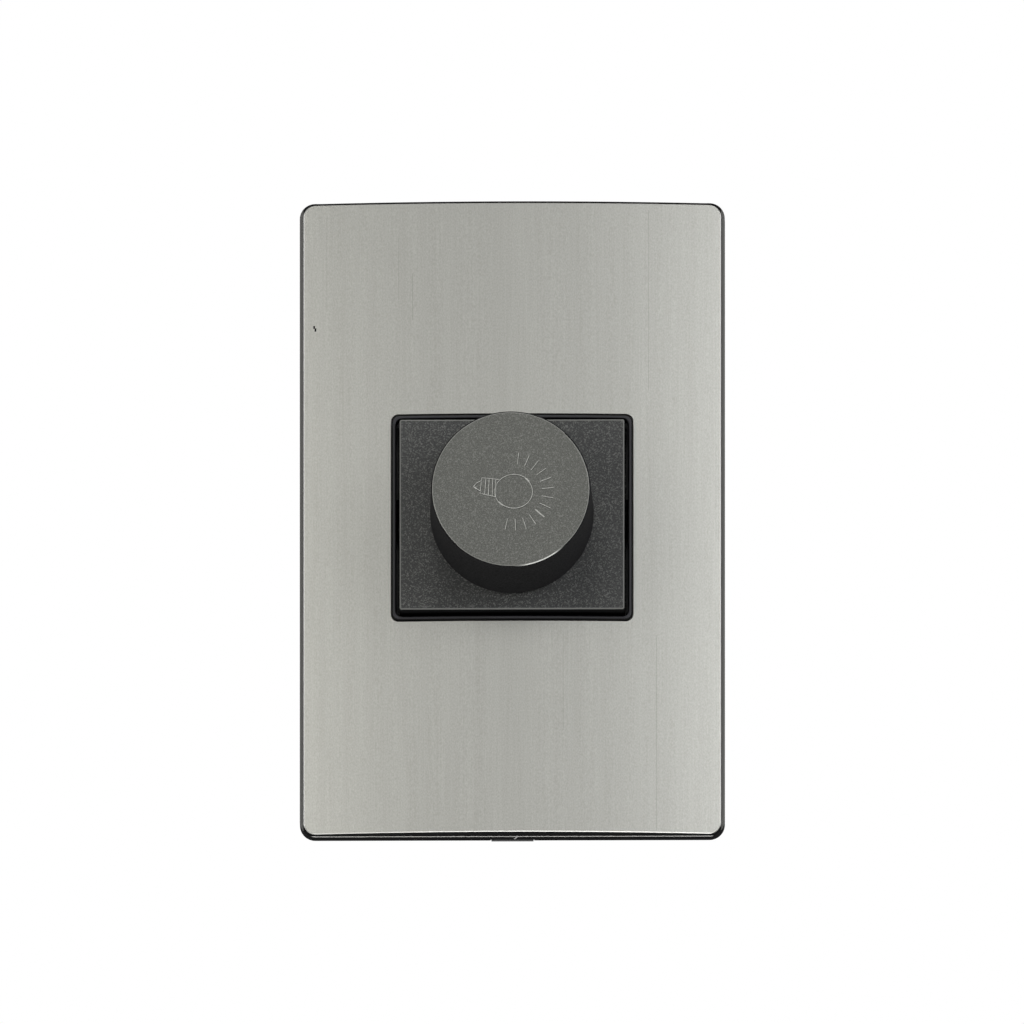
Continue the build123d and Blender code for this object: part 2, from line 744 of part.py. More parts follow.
# Carbon track on the wafer, open at the bottom
track_end = travel_deg / 2 + 2
with BuildPart() as resistor_track:
    with BuildSketch(front(wafer_front)):
        with BuildLine():
            rim = CenterArc((0, 0), track_radius + track_width / 2, 90 - track_end, 2 * track_end)
            bore = CenterArc((0, 0), track_radius - track_width / 2, 90 - track_end, 2 * track_end)
            Line(rim @ 0, bore @ 0)
            Line(rim @ 1, bore @ 1)
        make_face()
    extrude(amount=track_thickness)
finish(resistor_track.part, "resistor_track")

# Rotor: moulded disc on the shaft's tail, with the lug that meets the can's stop
lug_turn = 90 - rest_from_top_deg
with BuildPart() as control_rotor:
    with BuildSketch(front(rotor_back)):
        Circle(rotor_diameter / 2)
        with BuildLine():
            tip = CenterArc((0, 0), lug_reach, lug_turn - lug_angle / 2, lug_angle)
            Line((0, 0), tip @ 0)
            Line((0, 0), tip @ 1)
        make_face()
        Circle(shaft_tail_diameter / 2 + shaft_push_fit, mode=Mode.SUBTRACT)
    extrude(amount=rotor_thickness)
finish(control_rotor.part, "control_rotor")

# Wiper: a bent leaf under the rotor whose tip runs on the track
with BuildPart() as wiper_contact:
    wiper_plane = Plane(
        origin=(0, 0, 0),
        x_dir=(sin(radians(rest_from_top_deg)), 0, cos(radians(rest_from_top_deg))),
        z_dir=(cos(radians(rest_from_top_deg)), 0, -sin(radians(rest_from_top_deg))),
    )
    tip_height = track_front + wiper_lift
    with BuildSketch(wiper_plane.offset(-wiper_width / 2)):
        with BuildLine():
            Polyline(
                (0, -rotor_back),
                (0, -rotor_back + wiper_thickness),
                (track_radius / 2, -rotor_back + wiper_thickness),
                (track_radius, -tip_height),
                (track_radius + wiper_thickness, -tip_height),
                (track_radius + wiper_thickness, -tip_height - wiper_thickness),
                (track_radius, -tip_height - wiper_thickness),
                (track_radius / 2 + wiper_thickness, -rotor_back),
                close=True,
            )
        make_face()
    extrude(amount=wiper_width)
finish(wiper_contact.part, "wiper_contact")

# Control pins: three legs from the wafer's tab through the board
pin_z = -wafer_tab_reach + wafer_tab_margin
with BuildPart() as control_pins:
    with BuildSketch(front(board_back - solder_reach)):
        with Locations((0, pin_z)):
            with GridLocations(pin_spacing, 0, 3, 1):
                Rectangle(pin_width - component_gap / 2, pin_thickness - component_gap / 2)
    extrude(amount=wafer_front - board_back + solder_reach)
finish(control_pins.part, "control_pins")

# Circuit board: clamped between the tile's spigot and the housing's bosses
tongue_z = terminal_z + cage_size / 2 - cage_wall - tongue_thickness / 2
with BuildPart() as circuit_board:
    with BuildSketch(front(board_back)):
        Rectangle(inside_width - 2 * board_fit, inside_length - 2 * board_fit)
        with Locations((0, pin_z)):
            with GridLocations(pin_spacing, 0, 3, 1):
                Rectangle(pin_width, pin_thickness, mode=Mode.SUBTRACT)
        with Locations((0, tongue_z)):
            with GridLocations(2 * terminal_x, 0, 2, 1):
                Rectangle(
                    tongue_pin + component_gap,
                    tongue_thickness + component_gap,
                    mode=Mode.SUBTRACT,
                )
    extrude(amount=board_thickness)
finish(circuit_board.part, "circuit_board")

# Suppression choke: ferrite spool and the wire wound on it
choke_back = board_back - choke_length
winding_length = choke_length - 2 * choke_flange - 2 * winding_fit
turn_pitch = winding_length / choke_turns
winding_radius = choke_diameter / 2 - winding_fit * 4
with BuildPart() as choke_core:
    with BuildSketch(front(choke_back)):
        with Locations((choke_x, choke_z)):
            Circle(choke_diameter / 2)
    extrude(amount=choke_flange)
    with BuildSketch(front(board_back - choke_flange)):
        with Locations((choke_x, choke_z)):
            Circle(choke_diameter / 2)
    extrude(amount=choke_flange)
    with BuildSketch(front(choke_back)):
        with Locations((choke_x, choke_z)):
            Circle(choke_core_diameter / 2)
    extrude(amount=choke_length)
finish(choke_core.part, "choke_core")

winding_start = choke_back + choke_flange + winding_fit
with BuildPart() as choke_winding:
    with BuildSketch(Plane((choke_x, 0, choke_z))):
        with BuildLine():
            turns = [(choke_core_diameter / 2 + winding_fit, -winding_start)]
            for turn in range(choke_turns):
                turns.append((winding_radius - turn_pitch / 2, -winding_start - turn * turn_pitch))
                turns.append((winding_radius, -winding_start - (turn + 0.5) * turn_pitch))
            turns.append((winding_radius - turn_pitch / 2, -winding_start - winding_length))
            turns.append((choke_core_diameter / 2 + winding_fit, -winding_start - winding_length))
            Polyline(*turns, close=True)
        make_face()
    revolve(axis=Axis((choke_x, 0, choke_z), (0, 1, 0)))
finish(choke_winding.part, "choke_winding")

# Power switch in its moulded body, with a metal tab and three leads into the board
triac_front = board_back - triac_lead_length
triac_back = triac_front - triac_length
tab_z = triac_z + triac_thickness / 2 - triac_tab_thickness / 2
with BuildPart() as triac:
    with BuildSketch(front(triac_back)):
        with Locations((triac_x, triac_z)):
            Rectangle(triac_width, triac_thickness)
    extrude(amount=triac_length)
    with BuildSketch(front(triac_back - triac_tab_length)):
        with Locations((triac_x, tab_z)):
            Rectangle(triac_width, triac_tab_thickness)
    extrude(amount=triac_tab_length)
    with BuildSketch(Plane.XY.offset(tab_z - triac_tab_thickness)):
        with Locations((triac_x, -triac_back + triac_tab_length / 2)):
            Circle(tab_hole_diameter / 2)
    extrude(amount=2 * triac_tab_thickness, mode=Mode.SUBTRACT)
    with BuildSketch(front(board_back)):
        with Locations((triac_x, triac_z)):
            with GridLocations(lead_spacing, 0, 3, 1):
                Rectangle(lead_width, pin_thickness)
    extrude(amount=-triac_lead_length)
finish(triac.part, "triac")

# Heat sink: a folded channel behind the tab, standing clear of the board
sink_z = triac_z + triac_thickness / 2
sink_front = board_back - sink_clearance
sink_back = triac_back - triac_tab_length
with BuildPart() as heat_sink:
    with BuildSketch(front(sink_back)):
        with Locations((triac_x, sink_z + sink_thickness / 2)):
            Rectangle(sink_width, sink_thickness)
        with Locations((triac_x, sink_z + sink_thickness - sink_side / 2)):
            with GridLocations(sink_width - sink_thickness, 0, 2, 1):
                Rectangle(sink_thickness, sink_side)
    extrude(amount=sink_front - sink_back)
    with BuildSketch(Plane.XY.offset(sink_z)):
        with Locations((triac_x, -triac_back + triac_tab_length / 2)):
            Circle(tab_screw_diameter / 2 + pilot_fit)
    extrude(amount=sink_thickness, mode=Mode.SUBTRACT)
finish(heat_sink.part, "heat_sink")

# Screw that clamps the tab to the heat sink
tab_face = tab_z - triac_tab_thickness / 2
with BuildPart() as triac_screw:
    with BuildSketch(Plane.XY.offset(tab_face - screw_head_height)):
        with Locations((triac_x, -triac_back + triac_tab_length / 2)):
            Circle(screw_head_diameter / 2)
            Rectangle(screw_head_diameter, driver_slot_width, mode=Mode.SUBTRACT)
    extrude(amount=driver_slot_depth)
    with BuildSketch(Plane.XY.offset(tab_face - screw_head_height + driver_slot_depth)):
        with Locations((triac_x, -triac_back + triac_tab_length / 2)):
            Circle(screw_head_diameter / 2)
    extrude(amount=screw_head_height - driver_slot_depth)
    with BuildSketch(Plane.XY.offset(tab_face)):
        with Locations((triac_x, -triac_back + triac_tab_length / 2)):
            Circle(tab_screw_diameter / 2)
    extrude(amount=triac_tab_thickness + sink_thickness)
finish(triac_screw.part, "triac_screw")

# Film capacitors: two moulded boxes with leads into the board
with BuildPart() as film_capacitors:
    for x, z, width, thickness, length in (
        (triac_x, big_cap_z, big_cap_width, big_cap_thickness, big_cap_length),
        (small_cap_x, choke_z, small_cap_width, small_cap_thickness, small_cap_length),
    ):
        with BuildSketch(front(part_floor - length)):
            with Locations((x, z)):
                RectangleRounded(width, thickness, cap_corner)
        extrude(amount=length)
        with BuildSketch(front(board_back)):
            with Locations((x, z)):
                if width > thickness:
                    with GridLocations(width / 2, 0, 2, 1):
                        Circle(resistor_lead / 2)
                else:
                    with GridLocations(0, thickness / 2, 1, 2):
                        Circle(resistor_lead / 2)
        extrude(amount=part_floor - board_back)
finish(film_capacitors.part, "film_capacitors")

# Resistors: round bodies lying along X with bent leads
resistor_axis = part_floor - resistor_diameter / 2
with BuildPart() as resistors:
    for x in (-resistor_pitch, 0, resistor_pitch):
        with BuildSketch(Plane.YZ.offset(x - resistor_length / 2)):
            with Locations((-resistor_axis, resistor_z)):
                Circle(resistor_diameter / 2)
        extrude(amount=resistor_length)
        with BuildSketch(Plane.YZ.offset(x - resistor_length / 2 - lead_overhang)):
            with Locations((-resistor_axis, resistor_z)):
                Rectangle(resistor_lead, resistor_lead)
        extrude(amount=resistor_reach)
        with BuildSketch(front(resistor_axis)):
            with Locations((x, resistor_z)):
                with GridLocations(resistor_reach - resistor_lead, 0, 2, 1):
                    Rectangle(resistor_lead, resistor_lead)
        extrude(amount=board_back - resistor_axis)
finish(resistors.part, "resistors")

# Trigger diode: a small glass body lying along X with bent leads
diode_axis = part_floor - diode_diameter / 2
diode_reach = diode_length + 2 * lead_overhang
with BuildPart() as trigger_diode:
    with BuildSketch(Plane.YZ.offset(-diode_length / 2)):
        with Locations((-diode_axis, diode_z)):
            Circle(diode_diameter / 2)
    extrude(amount=diode_length)
    with BuildSketch(Plane.YZ.offset(-diode_reach / 2)):
        with Locations((-diode_axis, diode_z)):
            Rectangle(resistor_lead, resistor_lead)
    extrude(amount=diode_reach)
    with BuildSketch(front(diode_axis)):
        with Locations((0, diode_z)):
            with GridLocations(diode_reach - resistor_lead, 0, 2, 1):
                Rectangle(resistor_lead, resistor_lead)
    extrude(amount=board_back - diode_axis)
finish(trigger_diode.part, "trigger_diode")

# Fuse: glass tube with metal end caps, held across the board in two sprung clips
clip_outer = fuse_diameter / 2 + shaft_push_fit + fuse_clip_wall
fuse_axis = board_back - fuse_clip_base - clip_outer
clip_centre = (fuse_length - fuse_cap_length) / 2
stem_length = fuse_clip_base + clip_outer / 2
with BuildPart() as fuse_tube:
    with BuildSketch(Plane.YZ.offset(-fuse_length / 2)):
        with Locations((-fuse_axis, fuse_z)):
            Circle(fuse_diameter / 2)
    extrude(amount=fuse_cap_length)
    with BuildSketch(Plane.YZ.offset(fuse_length / 2 - fuse_cap_length)):
        with Locations((-fuse_axis, fuse_z)):
            Circle(fuse_diameter / 2)
    extrude(amount=fuse_cap_length)
    with BuildSketch(Plane.YZ.offset(-fuse_length / 2)):
        with Locations((-fuse_axis, fuse_z)):
            Circle(fuse_diameter / 2 - fuse_cap_step)
    extrude(amount=fuse_length)
finish(fuse_tube.part, "fuse_tube")

with BuildPart() as fuse_clips:
    for middle in (-clip_centre, clip_centre):
        with BuildSketch(Plane.YZ.offset(middle - fuse_cap_length / 2)):
            with Locations((-fuse_axis, fuse_z)):
                Circle(clip_outer)
                with Locations((-clip_outer / 2 - stem_length / 2, 0)):
                    Rectangle(stem_length, fuse_clip_opening)
                Circle(fuse_diameter / 2 + shaft_push_fit, mode=Mode.SUBTRACT)
                with Locations((clip_outer, 0)):
                    Rectangle(clip_outer, fuse_clip_opening, mode=Mode.SUBTRACT)
        extrude(amount=fuse_cap_length)
finish(fuse_clips.part, "fuse_clips")

# Terminal cages: square brass tubes behind the wire holes, each with a tapped hole below
with BuildPart() as terminal_cages:
    with BuildSketch(front(cage_back)):
        with Locations((0, terminal_z)):
            with GridLocations(2 * terminal_x, 0, 2, 1):
                Rectangle(cage_size, cage_size)
                Rectangle(
                    cage_size - 2 * cage_wall, cage_size - 2 * cage_wall, mode=Mode.SUBTRACT
                )
    extrude(amount=cage_depth)
    with BuildSketch(Plane.XY.offset(terminal_z - cage_size / 2)):
        with Locations((0, -(cage_back + cage_depth / 2))):
            with GridLocations(2 * terminal_x, 0, 2, 1):
                Circle(terminal_screw_diameter / 2)
    extrude(amount=cage_wall, mode=Mode.SUBTRACT)
finish(terminal_cages.part, "terminal_cages")

# Terminal screws: slotted heads under the cages, reached through the housing's lower wall
head_top = terminal_z - cage_size / 2 - component_gap / 2
with BuildPart() as terminal_screws:
    with BuildSketch(Plane.XY.offset(head_top - terminal_head_height)):
        with Locations((0, -(cage_back + cage_depth / 2))):
            with GridLocations(2 * terminal_x, 0, 2, 1):
                Circle(terminal_head_diameter / 2)
    extrude(amount=terminal_head_height)
    with BuildSketch(Plane.XY.offset(head_top)):
        with Locations((0, -(cage_back + cage_depth / 2))):
            with GridLocations(2 * terminal_x, 0, 2, 1):
                Circle(terminal_screw_diameter / 2 - shaft_push_fit)
    extrude(amount=2 * cage_wall)
    with BuildSketch(Plane.XY.offset(head_top - terminal_head_height)):
        with Locations((0, -(cage_back + cage_depth / 2))):
            with GridLocations(2 * terminal_x, 0, 2, 1):
                Rectangle(terminal_head_diameter, driver_slot_width)
    extrude(amount=driver_slot_depth, mode=Mode.SUBTRACT)
finish(terminal_screws.part, "terminal_screws")

# Terminal tongues: copper strips from each cage to the board
with BuildPart() as terminal_tongues:
    with BuildSketch(front(cage_back + cage_wall)):
        with Locations((0, tongue_z)):
            with GridLocations(2 * terminal_x, 0, 2, 1):
                Rectangle(tongue_width, tongue_thickness)
    extrude(amount=board_back - cage_back - cage_wall)
    with BuildSketch(front(board_back)):
        with Locations((0, tongue_z)):
            with GridLocations(2 * terminal_x, 0, 2, 1):
                Rectangle(tongue_pin, tongue_thickness)
    extrude(amount=board_thickness)
finish(terminal_tongues.part, "terminal_tongues")
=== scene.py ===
# Wall dimmer switch: a brushed steel plate on a black clip-on cover, with a rotary dimmer
# module in its window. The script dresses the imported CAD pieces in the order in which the
# switch is put together, from the mounting frame at the wall to the knob at the front.
import math

import bpy
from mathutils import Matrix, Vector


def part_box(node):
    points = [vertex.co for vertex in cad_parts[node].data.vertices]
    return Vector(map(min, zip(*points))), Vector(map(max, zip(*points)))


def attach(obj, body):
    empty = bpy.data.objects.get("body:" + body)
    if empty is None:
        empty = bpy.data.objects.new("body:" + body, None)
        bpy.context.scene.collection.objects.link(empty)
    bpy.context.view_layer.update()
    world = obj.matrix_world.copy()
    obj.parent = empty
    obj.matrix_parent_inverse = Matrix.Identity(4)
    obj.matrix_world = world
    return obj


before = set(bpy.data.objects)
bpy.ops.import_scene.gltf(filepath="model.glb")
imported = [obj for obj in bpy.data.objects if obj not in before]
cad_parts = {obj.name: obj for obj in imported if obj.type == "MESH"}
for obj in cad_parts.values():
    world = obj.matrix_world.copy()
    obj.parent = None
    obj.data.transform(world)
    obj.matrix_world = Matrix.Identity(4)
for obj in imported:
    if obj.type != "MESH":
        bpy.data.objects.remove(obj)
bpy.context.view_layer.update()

# Mounting frame
# A flat black frame of glass-filled nylon, injection moulded, that is screwed to the wall box.
# The glass fibre leaves a faintly cloudy matt skin.


def linear(colour):
    """An sRGB hex colour as the linear values that a shader socket takes."""
    parts = [int(colour[i : i + 2], 16) / 255 for i in (1, 3, 5)]
    return [p / 12.92 if p <= 0.04045 else ((p + 0.055) / 1.055) ** 2.4 for p in parts] + [1]


def add_node(material, kind, settings=None, links=None):
    """Adds one shader node. Settings fill its sockets or properties; links give (node, output)."""
    node = material.node_tree.nodes.new("ShaderNode" + kind)
    for name, value in (settings or {}).items():
        if isinstance(name, int) or name in node.inputs:
            node.inputs[name].default_value = value
        else:
            setattr(node, name, value)
    for name, (source, output) in (links or {}).items():
        material.node_tree.links.new(source.outputs[output], node.inputs[name])
    return node


def new_finish(name):
    """An empty node material, and the object's own place in metres for its patterns."""
    material = bpy.data.materials.new(name)
    material.use_nodes = True
    material.node_tree.nodes.clear()
    return material, add_node(material, "TexCoord")


def grain_share(material, place, grain, stretch=(1, 1, 1), contrast=(0.35, 0.65)):
    """Noise from 0 to 1 with one grain size in metres, drawn out along an axis by its stretch."""
    spread = add_node(material, "Mapping", {"Scale": stretch}, {"Vector": (place, "Object")})
    noise = add_node(
        material, "TexNoise", {"Scale": 1 / grain, "Detail": 3.0}, {"Vector": (spread, "Vector")}
    )
    return add_node(
        material,
        "MapRange",
        {"From Min": contrast[0], "From Max": contrast[1]},
        {"Value": (noise, "Fac")},
    )


def mottled(material, place, pale, dark, *grain):
    """Such noise as a colour between two hex values, with the noise itself for a relief."""
    share = grain_share(material, place, *grain)
    colour = add_node(
        material,
        "Mix",
        {"data_type": "RGBA", 6: linear(dark), 7: linear(pale)},
        {0: (share, "Result")},
    )
    return colour, share


def put_on(material, shader, *nodes):
    """Ends the material in its shader and gives it to the CAD nodes."""
    add_node(material, "OutputMaterial", {}, {"Surface": (shader, 0)})
    for name in nodes:
        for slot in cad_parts[name].material_slots:
            slot.material = material


nylon, place = new_finish("moulded_glass_filled_nylon")
colour, share = mottled(nylon, place, "#36373a", "#2a2b2d", 0.0012)
relief = add_node(
    nylon, "Bump", {"Strength": 0.25, "Distance": 0.00004}, {"Height": (share, "Result")}
)
shader = add_node(
    nylon,
    "BsdfPrincipled",
    {"Roughness": 0.58, "IOR": 1.53},
    {"Base Color": (colour, 2), "Normal": (relief, "Normal")},
)
put_on(nylon, shader, "mounting_frame")

# Circuit board and control wafer
# Pressed phenolic paper, sawn to size and punched. The pressed paper shows as brown fibre
# clouds, and the resin gives a low sheen.
laminate, place = new_finish("phenolic_paper_laminate")
colour, share = mottled(laminate, place, "#b08a52", "#8d6a3a", 0.0015, (1, 1, 0.35))
relief = add_node(
    laminate, "Bump", {"Strength": 0.15, "Distance": 0.00002}, {"Height": (share, "Result")}
)
shader = add_node(
    laminate,
    "BsdfPrincipled",
    {"Roughness": 0.42, "IOR": 1.55},
    {"Base Color": (colour, 2), "Normal": (relief, "Normal")},
)
put_on(laminate, shader, "circuit_board", "control_wafer")

# Rotary control
# A carbon track is screen printed on the wafer, and a moulded rotor carries the wiper over it
# inside a pressed can. Printed carbon is dead matt with a fine tooth.
carbon, place = new_finish("screen_printed_carbon")
colour, share = mottled(carbon, place, "#2c2c2b", "#191919", 0.0003)
relief = add_node(
    carbon, "Bump", {"Strength": 0.3, "Distance": 0.00001}, {"Height": (share, "Result")}
)
shader = add_node(
    carbon,
    "BsdfPrincipled",
    {"Roughness": 0.8, "IOR": 1.6},
    {"Base Color": (colour, 2), "Normal": (relief, "Normal")},
)
put_on(carbon, shader, "resistor_track")

# Module box and rear cover
# The box behind the tile, its rear cover and the control's rotor are moulded in polycarbonate.
# The spark-eroded mould gives them an even matt grain of about a third of a millimetre.
polycarbonate, place = new_finish("spark_grained_polycarbonate")
colour, share = mottled(polycarbonate, place, "#46474a", "#3a3b3d", 0.00035)
relief = add_node(
    polycarbonate, "Bump", {"Strength": 0.35, "Distance": 0.00003}, {"Height": (share, "Result")}
)
shader = add_node(
    polycarbonate,
    "BsdfPrincipled",
    {"Roughness": 0.5, "IOR": 1.58},
    {"Base Color": (colour, 2), "Normal": (relief, "Normal")},
)
put_on(polycarbonate, shader, "control_rotor", "module_housing", "housing_cover")

# The mould leaves marks on the rear cover, 0.15 mm high: L at the supply wire, a slanting arrow
# at the lamp wire, and a gauge 9 mm long for stripping the wires. Their tops are rubbed pale.


def cut_lines(name, paths, half_width, rim, middle, level, outward):
    """Lines in mm on a flat face at that Y. Each has two slopes that meet over its middle, and
    a foot on both sides that runs down into the face."""
    foot_reach = 0.03
    foot_level = -0.02
    section = (
        (-half_width - foot_reach, foot_level),
        (-half_width, rim),
        (0, middle),
        (half_width, rim),
        (half_width + foot_reach, foot_level),
    )
    points = []
    faces = []
    for path in paths:
        closed = path[0] == path[-1]
        count = len(path) - 1 if closed else len(path)
        start = len(points)
        for i in range(count):
            before = path[(i - 1) % count] if closed or i > 0 else path[i]
            after = path[(i + 1) % count] if closed or i < count - 1 else path[i]
            run = (after[0] - before[0], after[1] - before[1])
            size = math.hypot(*run)
            side = (-run[1] / size, run[0] / size)
            for offset, height in section:
                points.append(
                    (
                        (path[i][0] + side[0] * offset) / 1000,
                        (level + outward * height) / 1000,
                        (path[i][1] + side[1] * offset) / 1000,
                    )
                )
        for i in range(count if closed else count - 1):
            here = start + len(section) * i
            there = start + len(section) * ((i + 1) % count)
            for k in range(len(section) - 1):
                faces.append((here + k, here + k + 1, there + k + 1, there + k))
    mesh = bpy.data.meshes.new(name)
    mesh.from_pydata(points, [], faces)
    mesh.update()
    piece = bpy.data.objects.new(name, mesh)
    bpy.context.collection.objects.link(piece)
    return piece


letter_l = [(-8.2, -4.0), (-8.2, -7.2), (-10.1, -7.2)]
arrow_shaft = [(10.4, -7.0), (7.9, -4.5)]
arrow_head = [(9.8, -4.2), (7.6, -4.2), (7.6, -6.4)]
gauge = [(-4.5, 3.4), (4.5, 3.4)]
gauge_ends = [[(x, 2.6), (x, 4.2)] for x, z in gauge]
rear_marks = [letter_l, arrow_shaft, arrow_head, gauge] + gauge_ends
ridge_half_width = 0.25
ridge_height = 0.15
rear_level = 1000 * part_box("housing_cover")[1][1]
moulded_marks = cut_lines(
    "moulded_marks", rear_marks, ridge_half_width, 0.0, ridge_height, rear_level, 1
)
rubbed, place = new_finish("rubbed_raised_polycarbonate")
colour, share = mottled(rubbed, place, "#a3a4a8", "#8b8c90", 0.00035)
shader = add_node(
    rubbed,
    "BsdfPrincipled",
    {"Roughness": 0.35, "IOR": 1.58},
    {"Base Color": (colour, 2)},
)
put_on(rubbed, shader)
moulded_marks.data.materials.append(rubbed)
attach(moulded_marks, "base")

# Plated metal parts
# Zinc plate on the can, washer and screws is bright and dries in faint bluish and straw-coloured
# clouds. The cross recess of the rear screws, 0.3 to 1.5 mm under their tops, is painted dark as
# shade.


def painted_over(material, colour, *coats):
    """Lays hex colours over a colour in turn, each where the first output of its mask is 1."""
    for mask, paint in coats:
        colour = add_node(
            material,
            "Mix",
            {"data_type": "RGBA", 7: linear(paint)},
            {0: (mask, 0), 6: (colour, 2)},
        )
    return colour


zinc, place = new_finish("passivated_zinc_plate")
colour, share = mottled(zinc, place, "#c9cbcd", "#b9b7a6", 0.0025)
along = add_node(zinc, "SeparateXYZ", {}, {"Vector": (place, "Object")})
head_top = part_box("housing_screws")[1][1]
recess_middle = head_top - 0.0009
recess_half_depth = 0.0006
recess_shade = add_node(
    zinc,
    "Math",
    {"operation": "COMPARE", 1: recess_middle, 2: recess_half_depth},
    {0: (along, "Y")},
)
# Painted shade: the cross recess of the rear screws is coloured dark.
colour = painted_over(zinc, colour, (recess_shade, "#2f2e2c"))
dull = add_node(
    zinc, "MapRange", {"To Min": 0.22, "To Max": 0.38}, {"Value": (share, "Result")}
)
shader = add_node(
    zinc,
    "BsdfPrincipled",
    {"Metallic": 1.0},
    {"Base Color": (colour, 2), "Roughness": (dull, "Result")},
)
put_on(
    zinc,
    shader,
    "control_can",
    "bushing_washer",
    "triac_screw",
    "terminal_screws",
    "housing_screws",
)

# Nickel plate on the turned brass shaft, bushing and nut: the turning tool leaves fine rings
# that the plate follows, 0.15 mm apart.
nickel, place = new_finish("nickel_plated_turned_brass")
colour, share = mottled(nickel, place, "#cfc8b4", "#b8b09a", 0.0002, (0.05, 1, 0.05))
relief = add_node(
    nickel, "Bump", {"Strength": 0.2, "Distance": 0.00001}, {"Height": (share, "Result")}
)
shader = add_node(
    nickel,
    "BsdfPrincipled",
    {"Metallic": 1.0, "Roughness": 0.24},
    {"Base Color": (colour, 2), "Normal": (relief, "Normal")},
)
put_on(nickel, shader, "control_shaft", "control_bushing", "bushing_nut")

# Tinned brass legs and fuse clips: hot tin flows to a soft bright skin with slight waves.
tin, place = new_finish("hot_tinned_brass")
colour, share = mottled(tin, place, "#d2d0c8", "#bab7ac", 0.0008)
relief = add_node(
    tin, "Bump", {"Strength": 0.2, "Distance": 0.00003}, {"Height": (share, "Result")}
)
shader = add_node(
    tin,
    "BsdfPrincipled",
    {"Metallic": 1.0, "Roughness": 0.3},
    {"Base Color": (colour, 2), "Normal": (relief, "Normal")},
)
put_on(tin, shader, "control_pins", "fuse_clips")

# Suppression choke
# A sintered ferrite bobbin wound with enamelled copper wire. The ferrite is a dull grey
# ceramic, and the lacquered wire lies in turns 0.5 mm apart.
ferrite, place = new_finish("sintered_ferrite")
colour, share = mottled(ferrite, place, "#4a4a4c", "#363638", 0.0005)
relief = add_node(
    ferrite, "Bump", {"Strength": 0.4, "Distance": 0.00003}, {"Height": (share, "Result")}
)
shader = add_node(
    ferrite,
    "BsdfPrincipled",
    {"Roughness": 0.65, "IOR": 1.9},
    {"Base Color": (colour, 2), "Normal": (relief, "Normal")},
)
put_on(ferrite, shader, "choke_core")

copper, place = new_finish("enamelled_copper_wire")
colour, share = mottled(copper, place, "#b8652f", "#8f4520", 0.0005, (0.1, 1, 0.1))
shader = add_node(
    copper,
    "BsdfPrincipled",
    {"Metallic": 1.0, "Roughness": 0.35, "Coat Weight": 0.6, "Coat Roughness": 0.12},
    {"Base Color": (colour, 2)},
)
put_on(copper, shader, "choke_winding")

# Power switch and its heat sink
# The triac is moulded in black epoxy and screwed to a folded aluminium sheet. Rolled sheet
# keeps the mill's fine lines.
epoxy, place = new_finish("moulded_epoxy")
colour, share = mottled(epoxy, place, "#303031", "#222223", 0.0004)
relief = add_node(
    epoxy, "Bump", {"Strength": 0.3, "Distance": 0.00002}, {"Height": (share, "Result")}
)
shader = add_node(
    epoxy,
    "BsdfPrincipled",
    {"Roughness": 0.55, "IOR": 1.55},
    {"Base Color": (colour, 2), "Normal": (relief, "Normal")},
)
put_on(epoxy, shader, "triac")

aluminium, place = new_finish("rolled_aluminium_sheet")
colour, share = mottled(aluminium, place, "#d0d1d3", "#b9babd", 0.00025, (1, 0.03, 1))
dull = add_node(
    aluminium, "MapRange", {"To Min": 0.28, "To Max": 0.4}, {"Value": (share, "Result")}
)
shader = add_node(
    aluminium,
    "BsdfPrincipled",
    {"Metallic": 1.0},
    {"Base Color": (colour, 2), "Roughness": (dull, "Result")},
)
put_on(aluminium, shader, "heat_sink")

# Film capacitors
# Metallised film potted in moulded yellow cases. The cases are satin polyester with a slight
# unevenness in the yellow.
polyester, place = new_finish("moulded_yellow_polyester")
colour, share = mottled(polyester, place, "#d8a82c", "#c4951f", 0.002)
shader = add_node(
    polyester,
    "BsdfPrincipled",
    {"Roughness": 0.38, "IOR": 1.57},
    {"Base Color": (colour, 2)},
)
put_on(polyester, shader, "film_capacitors")

# Trigger diode, resistors and fuse
# Small parts with tinned leads or plated caps. The metal starts where the glass or lacquer
# ends, so each finish changes along X, at half lengths that are given in metres.


def two_ends(material, place, middles, half_length):
    """1 on the metal ends of parts that lie along X, 0 on the body between them."""
    along = add_node(material, "SeparateXYZ", {}, {"Vector": (place, "Object")})
    body = None
    for middle in middles:
        inside = add_node(
            material,
            "Math",
            {"operation": "COMPARE", 1: middle, 2: half_length},
            {0: (along, "X")},
        )
        if body is not None:
            inside = add_node(
                material, "Math", {"operation": "ADD"}, {0: (inside, 0), 1: (body, 0)}
            )
        body = inside
    return add_node(material, "Math", {"operation": "SUBTRACT", 0: 1.0}, {1: (body, 0)})


tinned_wire = {"Base Color": linear("#cfcdc6"), "Metallic": 1.0, "Roughness": 0.3}
diode_half_length = 0.002
resistor_half_length = 0.00315
resistor_half_reach = 0.00455
band_half_width = 0.00035
fuse_glass_half_length = 0.005

diode, place = new_finish("diode_glass_with_tinned_leads")
ends = two_ends(diode, place, [0.0], diode_half_length)
colour, share = mottled(diode, place, "#c06a3c", "#a85428", 0.0012)
glass = add_node(
    diode, "BsdfPrincipled", {"Roughness": 0.06, "IOR": 1.5}, {"Base Color": (colour, 2)}
)
lead = add_node(diode, "BsdfPrincipled", tinned_wire)
shader = add_node(diode, "MixShader", {}, {0: (ends, 0), 1: (glass, 0), 2: (lead, 0)})
put_on(diode, shader, "trigger_diode")

